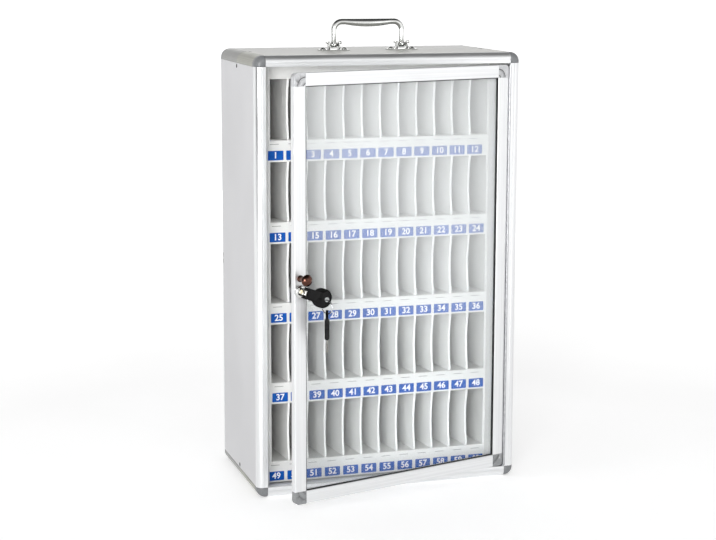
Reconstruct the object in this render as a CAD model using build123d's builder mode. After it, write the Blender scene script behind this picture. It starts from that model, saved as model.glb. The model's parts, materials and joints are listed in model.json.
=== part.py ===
"""Lockable wall or desk cabinet with numbered slots for cell phones.

Millimetres, +Z up, +X to the right as the user faces the door, +Y towards the back.
The origin is the middle of the outer face of the bottom panel.
"""

from build123d import *
from math import cos, radians, sin, sqrt, tan
import os

os.makedirs("parts", exist_ok=True)

# ---------------------------------------------------------------- driving dimensions
# cabinet shell
case_width = 356.0
case_depth = 195.0
case_height = 570.0
panel_thickness = 5.0
panel_gap = 0.2              # assembly gap round each panel

# aluminium edge profiles
rim_radius = 8.0             # rounding of the front and rear profiles
rim_lip = 1.5                # straight lip between the rounding and the panel
flange_width = 14.0          # face that frames the door opening
flange_depth = 9.0
profile_wall = 1.6
long_tongue = 8.0            # ledge that backs a panel beside a long edge
groove_width = 1.0
groove_depth = 0.6
groove_setback = 0.6         # from the end of the rounding to the groove
long_edge_radius = 12.0
seam_gap = 0.4
spigot_length = 9.0
spigot_clearance = 0.15

# countersunk screws beside the long edges
screw_head_radius = 2.8
screw_shank_radius = 1.5
screw_length = 9.0
screw_clearance = 0.05

# slot tray
row_count = 5
slot_count = 12
tray_inset = 29.9            # from the outer face of the cabinet to the slots
header_height = 25.4
divider_thickness = 2.6
tray_setback = 42.0          # from the front of the cabinet to the tray
tray_wall = 3.0
fascia_height = 28.0
shelf_thickness = 3.0
shelf_slope = 4.0            # degrees, down towards the back
divider_scoop = 5.0
divider_land = 2.5
tray_clearance = 0.2
surround_thickness = 2.0
surround_setback = 22.0      # leaves room for the lock cam behind the flange
surround_flare = 7.4
surround_lap = 4.0

# door
door_angle = 15.5            # how far it stands open at rest
door_thickness = 8.0
door_gap_free = 1.0
door_gap_end = 2.0
stile_width = 16.5
stile_wall = 1.5
glazing_depth = 4.0          # how far the window enters its groove
glazing_front = 3.4          # lip in front of the window groove
window_thickness = 2.5
seal_thickness = 0.35
seal_bead_width = 0.8
seal_bead_setback = 0.8
corner_radius = 6.0
corner_arcs = (11.5, 3.6)     # grooves struck from the corner's inner end
corner_arc_width = 0.9
corner_arc_depth = 0.5
corner_spigot_length = 14.0
stile_edge_radius = 1.0

# piano hinge
hinge_segments = 13
hinge_pin_radius = 0.8
hinge_clearance = 0.05
knuckle_radius = 1.5
knuckle_proud = 1.35
knuckle_gap = 0.3
leaf_thickness = 0.8
leaf_gap = 0.4
leaf_depth = 7.0

# lock, pull knob and keys
lock_inset = 7.75            # from the free edge of the door
lock_height = 287.0
knob_spacing = 16.0          # knob above the lock
lock_head_radius = 8.0
lock_head_height = 4.5
lock_head_chamfer = 1.0
lock_barrel_radius = 4.5
lock_barrel_length = 16.0
lock_clearance = 0.05
plug_radius = 3.25
plug_face_recess = 0.4
tail_width = 4.0
nut_across_flats = 13.0
nut_height = 3.0
cam_length = 17.0
cam_width = 10.0
cam_thickness = 1.6
cam_gap = 0.2
cam_screw_radius = 3.4
cam_screw_height = 1.5
knob_reach = 21.0
knob_head_radius = 7.8
knob_head_depth = 11.4
knob_dome_height = 4.8
knob_rim_round = 1.8
knob_neck_radius = 3.0
knob_foot_radius = 4.2
knob_foot_height = 1.5
knob_screw_radius = 1.9
knob_screw_head_radius = 3.5
knob_screw_head_height = 1.8
knob_screw_grip = 6.0        # thread inside the knob
key_tilt = 20.0              # the key rests turned this far clockwise
blade_width = 5.5
blade_thickness = 1.8
blade_reach = 7.5            # blade behind the door face
blade_clearance = 0.1
notch_depth = 0.9
notch_pitch = 2.6
notch_count = 4
fold_standoff = 13.0         # fold pin in front of the door face
fold_rest = 20.0             # degrees between the folded bow and the door
boss_radius = 2.4
fold_pin_radius = 1.1
fold_clearance = 0.05
fork_clearance = 0.3
bow_length = 33.0            # fold pin to the end of the bow
bow_width = 24.0
bow_round = 10.5
bow_neck = 14.0
bow_neck_thickness = 6.0
bow_thickness = 3.2
bow_hole_radius = 3.0
bow_hole_inset = 5.0
ring_radius = 8.5
ring_wire_radius = 0.75
ring_slack = 1.6             # play of the slanted wire in a bow hole
ring_turn = 17.0             # ring plane from the lock axis
spare_turn = 57.5            # hole axis of the spare key from the lock axis

# carrying handle
handle_span = 94.0           # between the two legs
handle_pivot_height = 7.4
handle_reach = 41.4          # top of the grip above the top panel
handle_bend = 14.0
leg_radius = 2.9
grip_radius = 4.4
grip_length = 62.0
eye_radius = 3.6
eye_length = 7.0
trunnion_radius = 2.0
trunnion_clearance = 0.06
bracket_length = 39.0
bracket_width = 18.0
bracket_thickness = 1.5
ear_spacing = 14.0           # between the middles of a bracket's two ears
ear_width = 9.0
ear_height = 10.4            # top of the ear plate above the top panel
ear_curl_radius = 1.9
rivet_spacing = 29.4
rivet_head_radius = 4.2
rivet_head_height = 2.8
rivet_shank_radius = 2.0
rivet_tail_height = 1.2

# ---------------------------------------------------------------- derived values
half_width = case_width / 2
front = -case_depth / 2
back = case_depth / 2
lip_end = rim_radius + rim_lip
tongue_inner = panel_thickness + profile_wall
cap_size = flange_width
long_leg = cap_size
tongue_length = cap_size - lip_end - panel_gap / 2
screw_offset = long_leg + long_tongue / 2

opening_half = half_width - flange_width
door_gap_hinge = 2 * leaf_thickness + leaf_gap
door_left = -opening_half + door_gap_free
door_right = opening_half - door_gap_hinge
door_bottom = flange_width + door_gap_end
door_top = case_height - flange_width - door_gap_end
door_width = door_right - door_left
door_height = door_top - door_bottom
door_back = front + door_thickness
hinge_x = opening_half - door_gap_hinge / 2
hinge_y = front - knuckle_proud
groove_height = window_thickness + 2 * seal_thickness
chamber_width = stile_width - glazing_depth - 2 * stile_wall
pane_inset = stile_width - glazing_depth + seal_thickness

tray_front = front + tray_setback
tray_back = back - tongue_inner - tray_clearance
tray_bottom = tongue_inner + tray_clearance
tray_top = case_height - tongue_inner - tray_clearance
tray_half = half_width - tray_inset
slot_pitch = (2 * tray_half + divider_thickness) / slot_count
row_pitch = (tray_top - tray_bottom - header_height) / row_count
fascia_back = tray_front + tray_wall
header_bottom = tray_top - header_height
shelf_rise = tan(radians(shelf_slope))

lock_x = door_left + lock_inset
door_pose = (
    Location((hinge_x, hinge_y, 0))
    * Location((0, 0, 0), (0, 0, door_angle))
    * Location((-hinge_x, -hinge_y, 0))
)


def save(builder, label, pose=None):
    """Label a finished sub-part and write it as one STEP file."""
    piece = builder.part if pose is None else builder.part.moved(pose)
    piece.label = label
    export_step(piece, f"parts/{label}.step")


# ---------------------------------------------------------------- edge profile sections
# In each section X runs inward from one outer face and Y inward from the other.
groove_start = rim_radius + groove_setback
groove_end = groove_start + groove_width
chamber_floor = flange_depth - profile_wall
chamber_radius = rim_radius - profile_wall
chamber_start = rim_radius - sqrt(chamber_radius**2 - (rim_radius - chamber_floor) ** 2)
arc_share = 1 - cos(radians(45))

with BuildSketch() as front_section:
    with BuildLine():
        ThreePointArc(
            (0, rim_radius),
            (rim_radius * arc_share, rim_radius * arc_share),
            (rim_radius, 0),
        )
        Polyline(
            (rim_radius, 0),
            (groove_start, 0),
            (groove_start, groove_depth),
            (groove_end, groove_depth),
            (groove_end, 0),
            (flange_width, 0),
            (flange_width, flange_depth),
            (tongue_inner, flange_depth),
            (tongue_inner, lip_end + tongue_length),
            (panel_thickness, lip_end + tongue_length),
            (panel_thickness, lip_end),
            (0, lip_end),
            (0, rim_radius),
        )
    make_face()
    with BuildLine():
        ThreePointArc(
            (chamber_start, chamber_floor),
            (rim_radius - chamber_radius * cos(radians(50)), rim_radius - chamber_radius * sin(radians(50))),
            (rim_radius, profile_wall),
        )
        Polyline(
            (rim_radius, profile_wall),
            (flange_width - profile_wall, profile_wall),
            (flange_width - profile_wall, chamber_floor),
            (chamber_start, chamber_floor),
        )
    make_face(mode=Mode.SUBTRACT)

with BuildSketch() as rear_section:
    with BuildLine():
        ThreePointArc(
            (0, rim_radius),
            (rim_radius * arc_share, rim_radius * arc_share),
            (rim_radius, 0),
        )
        Polyline(
            (rim_radius, 0),
            (lip_end, 0),
            (lip_end, panel_thickness),
            (lip_end + tongue_length, panel_thickness),
            (lip_end + tongue_length, tongue_inner),
            (tongue_inner, tongue_inner),
            (tongue_inner, lip_end + tongue_length),
            (panel_thickness, lip_end + tongue_length),
            (panel_thickness, lip_end),
            (0, lip_end),
            (0, rim_radius),
        )
    make_face()

with BuildSketch() as long_section:
    with BuildLine():
        ThreePointArc(
            (0, long_edge_radius),
            (long_edge_radius * arc_share, long_edge_radius * arc_share),
            (long_edge_radius, 0),
        )
        Polyline(
            (long_edge_radius, 0),
            (long_leg, 0),
            (long_leg, panel_thickness),
            (long_leg + long_tongue, panel_thickness),
            (long_leg + long_tongue, tongue_inner),
            (tongue_inner, tongue_inner),
            (tongue_inner, long_leg + long_tongue),
            (panel_thickness, long_leg + long_tongue),
            (panel_thickness, long_leg),
            (0, long_leg),
            (0, long_edge_radius),
        )
    make_face()


def run_profile(section, origin, inward, depthward, length):
    """Extrude a profile section from origin; inward and depthward are its two leg directions."""
    run = Vector(inward).cross(Vector(depthward))
    with BuildPart() as profile:
        with BuildSketch(Plane(origin=origin, x_dir=inward, z_dir=run)):
            add(section.sketch)
        extrude(amount=length)
    return profile


upright = case_height - 2 * cap_size
crossbar = case_width - 2 * cap_size
left_x = -half_width
right_x = half_width
crossbar_end = half_width - cap_size

for name, section, face_y, depthward in (
    ("front", front_section, front, 1),
    ("rear", rear_section, back, -1),
):
    starts = {
        "left": ((left_x, face_y), (1, 0, 0), upright),
        "right": ((right_x, face_y), (-1, 0, 0), upright),
        "bottom": ((0, face_y), (0, 0, 1), crossbar),
        "top": ((case_height, face_y), (0, 0, -1), crossbar),
    }
    for side, ((corner, _), inward, length) in starts.items():
        run = Vector(inward).cross(Vector(0, depthward, 0))
        if side in ("left", "right"):
            start_z = cap_size if run.Z > 0 else case_height - cap_size
            origin = (corner, face_y, start_z)
        else:
            start_x = -crossbar_end if run.X > 0 else crossbar_end
            origin = (start_x, face_y, corner)
        bar = run_profile(section, origin, inward, (0, depthward, 0), length)
        save(bar, f"{name}_edge_{side}")

def screw_seats(side, level):
    """Outer face planes of the two screws beside one long edge; side and level are -1 or 1."""
    flat_z = case_height if level > 0 else 0
    seat_z = flat_z - level * screw_offset
    return (
        Plane(origin=(side * half_width, 0, seat_z), x_dir=(0, 1, 0), z_dir=(side, 0, 0)),
        Plane(origin=(side * (half_width - screw_offset), 0, flat_z), x_dir=(1, 0, 0), z_dir=(0, 0, level)),
    )


# long edges run front to back in two lengths that butt at mid depth
hole_radius = screw_shank_radius + screw_clearance
sink_radius = screw_head_radius + screw_clearance
half_length = case_depth / 2 - cap_size - seam_gap / 2
for side_name, side in (("left", -1), ("right", 1)):
    for level_name, level in (("bottom", -1), ("top", 1)):
        corner_z = case_height if level > 0 else 0
        run = Vector(-side, 0, 0).cross(Vector(0, 0, -level))
        with BuildPart() as long_edge:
            for start_y in (-run.Y * (case_depth / 2 - cap_size), run.Y * seam_gap / 2):
                origin = (side * half_width, start_y, corner_z)
                with BuildSketch(Plane(origin=origin, x_dir=(-side, 0, 0), z_dir=run)):
                    add(long_section.sketch)
                extrude(amount=half_length)
            with Locations(*screw_seats(side, level)):
                Hole(hole_radius, depth=screw_length)
        save(long_edge, f"long_edge_{level_name}_{side_name}")

# ---------------------------------------------------------------- corner caps
spigot_side = flange_width - profile_wall - rim_radius - 2 * spigot_clearance
spigot_depth = chamber_floor - profile_wall - 2 * spigot_clearance
spigot_mid = rim_radius + spigot_clearance + spigot_side / 2
spigot_mid_depth = profile_wall + spigot_clearance + spigot_depth / 2


def corner_cap(with_spigots):
    """Rounded cap at the origin, filling the corner towards +X, +Y and +Z.

    A front cap plugs into the hollow profiles; a rear cap is rebated for the back panel.
    """
    with BuildPart() as cap:
        Box(cap_size, cap_size, cap_size, align=(Align.MIN, Align.MIN, Align.MIN))
        fillet(
            cap.edges().filter_by(Axis.Y).filter_by(lambda e: e.center().X < 1 and e.center().Z < 1),
            long_edge_radius,
        )
        outer = cap.faces().sort_by(Axis.Y)[0].edges()
        fillet(
            outer.filter_by(lambda e: min(e.center().X, e.center().Z) < cap_size / 3),
            rim_radius,
        )
        if with_spigots:
            with Locations((spigot_mid, spigot_mid_depth, cap_size)):
                Box(spigot_side, spigot_depth, spigot_length, align=(Align.CENTER, Align.CENTER, Align.MIN))
            with Locations((cap_size, spigot_mid_depth, spigot_mid)):
                Box(spigot_length, spigot_depth, spigot_side, align=(Align.MIN, Align.CENTER, Align.CENTER))
        else:
            with Locations((lip_end, 0, lip_end)):
                Box(
                    cap_size,
                    panel_thickness,
                    cap_size,
                    align=(Align.MIN, Align.MIN, Align.MIN),
                    mode=Mode.SUBTRACT,
                )
    return cap.part


for name, face_y, facing in (("front", front, 1), ("rear", back, -1)):
    source = corner_cap(with_spigots=name == "front")
    with BuildPart() as caps:
        for side in (1, -1):
            for level in (1, -1):
                cap = source
                if side < 0:
                    cap = cap.mirror(Plane.YZ)
                if facing < 0:
                    cap = cap.mirror(Plane.XZ)
                if level < 0:
                    cap = cap.mirror(Plane.XY)
                with Locations((-side * half_width, face_y, 0 if level > 0 else case_height)):
                    add(cap)
    save(caps, f"{name}_corner_caps")

# ---------------------------------------------------------------- panels and screws
panel_depth = case_depth - 2 * lip_end - 2 * panel_gap
side_height = case_height - 2 * long_leg - 2 * panel_gap
flat_width = case_width - 2 * long_leg - 2 * panel_gap
rivet_places = [
    (side * handle_span / 2 + end * rivet_spacing / 2, 0) for side in (-1, 1) for end in (-1, 1)
]

for side_name, side in (("left", -1), ("right", 1)):
    outer_face = Plane(origin=(side * half_width, 0, case_height / 2), x_dir=(0, 1, 0), z_dir=(side, 0, 0))
    with BuildPart() as side_panel:
        with BuildSketch(outer_face):
            Rectangle(panel_depth, side_height)
        extrude(amount=-panel_thickness)
        with Locations(*[screw_seats(side, level)[0] for level in (-1, 1)]):
            CounterSinkHole(hole_radius, sink_radius, depth=panel_thickness, counter_sink_angle=90)
    save(side_panel, f"side_panel_{side_name}")

for level_name, level, flat_z in (("bottom", -1, 0), ("top", 1, case_height)):
    with BuildPart() as flat_panel:
        with BuildSketch(Plane(origin=(0, 0, flat_z), x_dir=(1, 0, 0), z_dir=(0, 0, level))):
            Rectangle(flat_width, panel_depth)
        extrude(amount=-panel_thickness)
        with Locations(*[screw_seats(side, level)[1] for side in (-1, 1)]):
            CounterSinkHole(hole_radius, sink_radius, depth=panel_thickness, counter_sink_angle=90)
        if level > 0:
            with Locations(Plane.XY.offset(case_height)):
                with Locations(*rivet_places):
                    Hole(rivet_shank_radius + screw_clearance, depth=panel_thickness)
    save(flat_panel, f"{level_name}_panel")

with BuildPart() as back_panel:
    with BuildSketch(Plane(origin=(0, back, case_height / 2), x_dir=(-1, 0, 0), z_dir=(0, 1, 0))):
        Rectangle(case_width - 2 * lip_end - 2 * panel_gap, case_height - 2 * lip_end - 2 * panel_gap)
    extrude(amount=-panel_thickness)
save(back_panel, "back_panel")

# countersunk screws: a cone head flush with the panel over a plain shank
with BuildPart() as edge_screws:
    for side in (-1, 1):
        for level in (-1, 1):
            for seat in screw_seats(side, level):
                with BuildSketch(Plane(origin=seat.origin, x_dir=seat.x_dir, z_dir=-seat.y_dir)):
                    with BuildLine():
                        Polyline(
                            (0, 0),
                            (screw_head_radius, 0),
                            (screw_shank_radius, screw_shank_radius - screw_head_radius),
                            (screw_shank_radius, -screw_length),
                            (0, -screw_length),
                            close=True,
                        )
                    make_face()
                revolve(axis=Axis(seat.origin, seat.z_dir))
save(edge_screws, "edge_screws")

# ---------------------------------------------------------------- slot tray
for side, sign in (("left", -1), ("right", 1)):
    inner_face = sign * (tray_half + tray_wall / 2)
    with BuildPart() as tray_side:
        with BuildSketch(Plane.XY.offset(tray_bottom)):
            with Locations((inner_face, (tray_front + tray_back) / 2)):
                Rectangle(tray_wall, tray_back - tray_front)
        extrude(amount=tray_top - tray_bottom)
    save(tray_side, f"tray_side_{side}")

    # bent strip that closes the view between the flange and the tray side
    outer_x = half_width - tongue_inner - tray_clearance
    wall_x = tray_half + tray_wall + tray_clearance
    flare_x = wall_x + surround_flare
    lap_y = tray_front + surround_lap
    strip_y = front + surround_setback
    with BuildPart() as surround:
        with BuildSketch(Plane.XY.offset(tray_bottom)):
            with BuildLine():
                Polyline(
                    (sign * outer_x, strip_y),
                    (sign * flare_x, strip_y),
                    (sign * wall_x, tray_front - surround_thickness / 2),
                    (sign * wall_x, lap_y),
                    (sign * (wall_x + surround_thickness), lap_y),
                    (sign * (wall_x + surround_thickness), tray_front - surround_thickness / 2),
                    (sign * (flare_x + surround_thickness / 2), strip_y + surround_thickness),
                    (sign * outer_x, strip_y + surround_thickness),
                    close=True,
                )
            make_face()
        extrude(amount=tray_top - tray_bottom)
    save(surround, f"tray_surround_{side}")

with BuildPart() as header:
    with BuildSketch(Plane.XY.offset(header_bottom)):
        with Locations((0, tray_front + tray_wall / 2)):
            Rectangle(2 * tray_half, tray_wall)
    extrude(amount=tray_top - header_bottom)
save(header, "tray_header")

shelf_run = tray_back - fascia_back
shelf_drop = shelf_run * shelf_rise
divider_front = tray_front
nose_radius = tray_wall / 2

for row in range(1, row_count + 1):
    base = tray_bottom + (row_count - row) * row_pitch
    floor = base + fascia_height
    ceiling = base + row_pitch

    # shelf: a label fascia at the front and a floor that falls towards the back
    with BuildPart() as shelf:
        with BuildSketch(Plane.YZ.offset(-tray_half)):
            with BuildLine():
                Polyline(
                    (tray_front, base),
                    (fascia_back, base),
                    (fascia_back, floor - shelf_thickness),
                    (tray_back, floor - shelf_drop - shelf_thickness),
                    (tray_back, floor - shelf_drop),
                    (fascia_back, floor),
                    (tray_front, floor),
                    close=True,
                )
            make_face()
        extrude(amount=2 * tray_half)
        nose = shelf.edges().filter_by(Axis.X).group_by(Axis.Z)[-1].sort_by(Axis.Y)[0]
        fillet(nose, nose_radius)
    save(shelf, f"shelf_{row}")

    # dividers stand on the floor and reach the shelf above, with a scooped front edge
    above_back = ceiling + fascia_height - shelf_drop - shelf_thickness
    above_front = ceiling + fascia_height - shelf_thickness
    if row == 1:
        above_back = tray_top
        above_front = tray_top
    scoop_middle = (floor + ceiling) / 2
    gap = tray_clearance
    with BuildPart() as dividers:
        for index in range(1, slot_count):
            middle = -tray_half - divider_thickness / 2 + index * slot_pitch
            with BuildSketch(Plane.YZ.offset(middle - divider_thickness / 2)):
                with BuildLine():
                    ThreePointArc(
                        (divider_front, floor + nose_radius + divider_land),
                        (divider_front + divider_scoop, scoop_middle),
                        (divider_front, ceiling - divider_land),
                    )
                    Polyline(
                        (divider_front, ceiling - divider_land),
                        (divider_front, ceiling - gap),
                        (fascia_back + gap, ceiling - gap),
                        (fascia_back + gap, above_front - gap),
                        (tray_back, above_back - gap),
                        (tray_back, floor - shelf_drop + gap),
                        (fascia_back, floor + gap),
                        (divider_front + nose_radius, floor + gap),
                        (divider_front, floor + nose_radius + divider_land),
                    )
                make_face()
            extrude(amount=divider_thickness)
    save(dividers, f"dividers_row_{row}")

# ---------------------------------------------------------------- door frame
# Door pieces are drawn with the door shut and then swung open by door_angle.
def door_box(left, right, low, high, near, far):
    """Box in the shut door: inset from its left and bottom edges, depth from its front face."""
    with Locations((door_left + left, front + near, door_bottom + low)):
        Box(right - left, far - near, high - low, align=(Align.MIN, Align.MIN, Align.MIN))


def door_ring(outset, inset, near, far):
    """Rectangular ring round the door between two distances from its edges."""
    door_box(outset, door_width - outset, outset, door_height - outset, near, far)
    with Locations((door_left + door_width / 2, front + near, door_bottom + door_height / 2)):
        Box(
            door_width - 2 * inset,
            far - near,
            door_height - 2 * inset,
            align=(Align.CENTER, Align.MIN, Align.CENTER),
            mode=Mode.SUBTRACT,
        )


# section of a stile or rail: X from the door's outer edge inward, Y from its front face
groove_floor = stile_width - glazing_depth
groove_back = glazing_front + groove_height
with BuildSketch() as stile_section:
    with BuildLine():
        Polyline(
            (0, 0),
            (stile_width, 0),
            (stile_width, glazing_front),
            (groove_floor, glazing_front),
            (groove_floor, groove_back),
            (stile_width, groove_back),
            (stile_width, door_thickness),
            (0, door_thickness),
            close=True,
        )
    make_face()
    fillet(stile_section.vertices().group_by(Axis.Y)[0], stile_edge_radius)
    with Locations((stile_wall + chamber_width / 2, door_thickness / 2)):
        Rectangle(chamber_width, door_thickness - 2 * stile_wall, mode=Mode.SUBTRACT)

lock_plane = Plane(origin=(lock_x, front, lock_height), x_dir=(1, 0, 0), z_dir=(0, -1, 0))
knob_plane = Plane(
    origin=(lock_x, front, lock_height + knob_spacing), x_dir=(1, 0, 0), z_dir=(0, -1, 0)
)
stile_run = door_height - 2 * stile_width
rail_run = door_width - 2 * stile_width

for name, corner, inward, length in (
    ("door_stile_free", (door_left, front), (1, 0, 0), stile_run),
    ("door_stile_hinge", (door_right, front), (-1, 0, 0), stile_run),
    ("door_rail_bottom", (door_bottom, front), (0, 0, 1), rail_run),
    ("door_rail_top", (door_top, front), (0, 0, -1), rail_run),
):
    run = Vector(inward).cross(Vector(0, 1, 0))
    if "stile" in name:
        start = door_bottom + stile_width if run.Z > 0 else door_top - stile_width
        origin = (corner[0], front, start)
    else:
        start = door_left + stile_width if run.X > 0 else door_right - stile_width
        origin = (start, front, corner[0])
    with BuildPart() as member:
        with BuildSketch(Plane(origin=origin, x_dir=inward, z_dir=run)):
            add(stile_section.sketch)
        extrude(amount=length)
        if name == "door_stile_free":
            with Locations(lock_plane):
                Hole(lock_barrel_radius + lock_clearance, depth=door_thickness)
            with Locations(knob_plane):
                Hole(knob_screw_radius + screw_clearance, depth=door_thickness)
    save(member, name, door_pose)

# corner pieces plug into the hollow stiles and rails
plug_side = chamber_width - 2 * spigot_clearance
plug_depth = door_thickness - 2 * stile_wall - 2 * spigot_clearance
plug_mid = stile_wall + chamber_width / 2


def door_corner():
    """Corner piece at the origin, filling the corner towards +X, +Y and +Z."""
    with BuildPart() as piece:
        Box(stile_width, door_thickness, stile_width, align=(Align.MIN, Align.MIN, Align.MIN))
        fillet(
            piece.edges().filter_by(Axis.Y).filter_by(lambda e: e.center().X < 1 and e.center().Z < 1),
            corner_radius,
        )
        with Locations((groove_floor, glazing_front, groove_floor)):
            Box(
                glazing_depth,
                groove_height,
                glazing_depth,
                align=(Align.MIN, Align.MIN, Align.MIN),
                mode=Mode.SUBTRACT,
            )
        with BuildSketch(Plane(origin=(stile_width, 0, stile_width), x_dir=(1, 0, 0), z_dir=(0, -1, 0))):
            for radius in corner_arcs:
                Circle(radius)
                Circle(radius - corner_arc_width, mode=Mode.SUBTRACT)
        extrude(amount=-corner_arc_depth, mode=Mode.SUBTRACT)
        with Locations((plug_mid, door_thickness / 2, stile_width)):
            Box(plug_side, plug_depth, corner_spigot_length, align=(Align.CENTER, Align.CENTER, Align.MIN))
        with Locations((stile_width, door_thickness / 2, plug_mid)):
            Box(corner_spigot_length, plug_depth, plug_side, align=(Align.MIN, Align.CENTER, Align.CENTER))
    return piece.part


corner_source = door_corner()
with BuildPart() as door_corners:
    for side, corner_x in ((1, door_left), (-1, door_right)):
        for level, corner_z in ((1, door_bottom), (-1, door_top)):
            piece = corner_source
            if side < 0:
                piece = piece.mirror(Plane.YZ)
            if level < 0:
                piece = piece.mirror(Plane.XY)
            with Locations((corner_x, front, corner_z)):
                add(piece)
save(door_corners, "door_corners", door_pose)

# ---------------------------------------------------------------- window and its seal
pane_front = glazing_front + seal_thickness
pane_back = pane_front + window_thickness
pane_edge = groove_floor + seal_thickness
with BuildPart() as door_window:
    door_box(pane_edge, door_width - pane_edge, pane_edge, door_height - pane_edge, pane_front, pane_back)
save(door_window, "door_window", door_pose)

# the seal wraps the edge of the window and covers the frame's inner wall in front of it
with BuildPart() as window_seal:
    door_ring(groove_floor, stile_width, glazing_front, groove_back)
    bead_inset = stile_width + seal_bead_width
    with BuildPart(mode=Mode.PRIVATE) as bead:
        door_ring(stile_width, bead_inset, seal_bead_setback, pane_front)
    add(bead.part)
    with BuildPart(mode=Mode.PRIVATE) as front_lip:
        door_ring(stile_width - seal_thickness, bead_inset, glazing_front, pane_front)
    add(front_lip.part)
    add(door_window.part, mode=Mode.SUBTRACT)
save(window_seal, "window_seal", door_pose)

# ---------------------------------------------------------------- piano hinge
segment = door_height / hinge_segments


def hinge_leaf(side, first):
    """Leaf with knuckles on every second segment; side is 1 for the cabinet and -1 for the door."""
    plate_near = hinge_y + knuckle_radius + knuckle_gap
    plate_mid = hinge_x + side * (leaf_gap + leaf_thickness) / 2
    plate_end = front + leaf_depth
    bore = hinge_pin_radius + hinge_clearance
    with BuildPart() as leaf:
        with Locations((plate_mid, plate_near, door_bottom)):
            Box(
                leaf_thickness,
                plate_end - plate_near,
                door_height,
                align=(Align.CENTER, Align.MIN, Align.MIN),
            )
        for index in range(first, hinge_segments, 2):
            low = door_bottom + index * segment + knuckle_gap / 2
            with Locations((plate_mid, hinge_y, low)):
                Box(
                    leaf_thickness,
                    plate_near - hinge_y,
                    segment - knuckle_gap,
                    align=(Align.CENTER, Align.MIN, Align.MIN),
                )
            with Locations((hinge_x, hinge_y, low)):
                Cylinder(knuckle_radius, segment - knuckle_gap, align=(Align.CENTER, Align.CENTER, Align.MIN))
        with Locations((hinge_x, hinge_y, door_bottom)):
            Cylinder(bore, door_height, align=(Align.CENTER, Align.CENTER, Align.MIN), mode=Mode.SUBTRACT)
    return leaf


save(hinge_leaf(1, 0), "hinge_leaf_frame")
save(hinge_leaf(-1, 1), "hinge_leaf_door", door_pose)

with BuildPart() as hinge_pin:
    with Locations((hinge_x, hinge_y, door_bottom)):
        Cylinder(hinge_pin_radius, door_height, align=(Align.CENTER, Align.CENTER, Align.MIN))
save(hinge_pin, "hinge_pin")

# ---------------------------------------------------------------- lock
barrel_bore = plug_radius + lock_clearance
upward = (Align.CENTER, Align.CENTER, Align.MIN)
downward = (Align.CENTER, Align.CENTER, Align.MAX)

with BuildPart() as lock_body:
    with Locations(lock_plane):
        Cylinder(lock_head_radius, lock_head_height, align=upward)
        Cylinder(lock_barrel_radius, lock_barrel_length, align=downward)
    chamfer(lock_body.faces().sort_by(Axis.Y)[0].edges(), lock_head_chamfer)
    with Locations(lock_plane.offset(lock_head_height)):
        Cylinder(barrel_bore, lock_head_height + lock_barrel_length, align=downward, mode=Mode.SUBTRACT)
save(lock_body, "lock_body", door_pose)

with BuildPart() as lock_nut:
    with BuildSketch(lock_plane.offset(-door_thickness)):
        RegularPolygon(nut_across_flats / 2, 6, major_radius=False)
        Circle(lock_barrel_radius + lock_clearance, mode=Mode.SUBTRACT)
    extrude(amount=-nut_height)
save(lock_nut, "lock_nut", door_pose)

tilt = radians(key_tilt)
key_side = Vector(cos(tilt), 0, -sin(tilt))
key_plane = Plane(origin=lock_plane.origin, x_dir=key_side, z_dir=(0, -1, 0))
keyway_depth = blade_reach + blade_clearance
cam_near = lock_barrel_length + cam_gap
with BuildPart() as lock_plug:
    with Locations(lock_plane.offset(lock_head_height - plug_face_recess)):
        plug_length = lock_head_height - plug_face_recess + cam_near
        Cylinder(plug_radius, plug_length, align=downward)
    with BuildSketch(lock_plane.offset(-cam_near)):
        Rectangle(tail_width, tail_width)
    extrude(amount=-cam_thickness)
    with BuildSketch(key_plane.offset(-keyway_depth)):
        Rectangle(blade_thickness + 2 * blade_clearance, blade_width + 2 * blade_clearance)
    extrude(amount=keyway_depth + lock_head_height, mode=Mode.SUBTRACT)
save(lock_plug, "lock_plug", door_pose)

with BuildPart() as lock_cam:
    with BuildSketch(lock_plane.offset(-cam_near)):
        with Locations((0, -(cam_length - cam_width / 2) / 2)):
            Rectangle(cam_width, cam_length - cam_width / 2)
        Circle(cam_width / 2)
        with Locations((0, -(cam_length - cam_width / 2))):
            RectangleRounded(cam_width, cam_width, cam_width / 4)
        tail_hole = tail_width + 2 * lock_clearance
        Rectangle(tail_hole, tail_hole, mode=Mode.SUBTRACT)
    extrude(amount=-cam_thickness)
save(lock_cam, "lock_cam", door_pose)

with BuildPart() as cam_screw:
    with Locations(lock_plane.offset(-cam_near - cam_thickness)):
        Cylinder(cam_screw_radius, cam_screw_height, align=downward)
    chamfer(cam_screw.faces().sort_by(Axis.Y)[-1].edges(), cam_screw_height / 3)
save(cam_screw, "cam_screw", door_pose)

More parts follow.
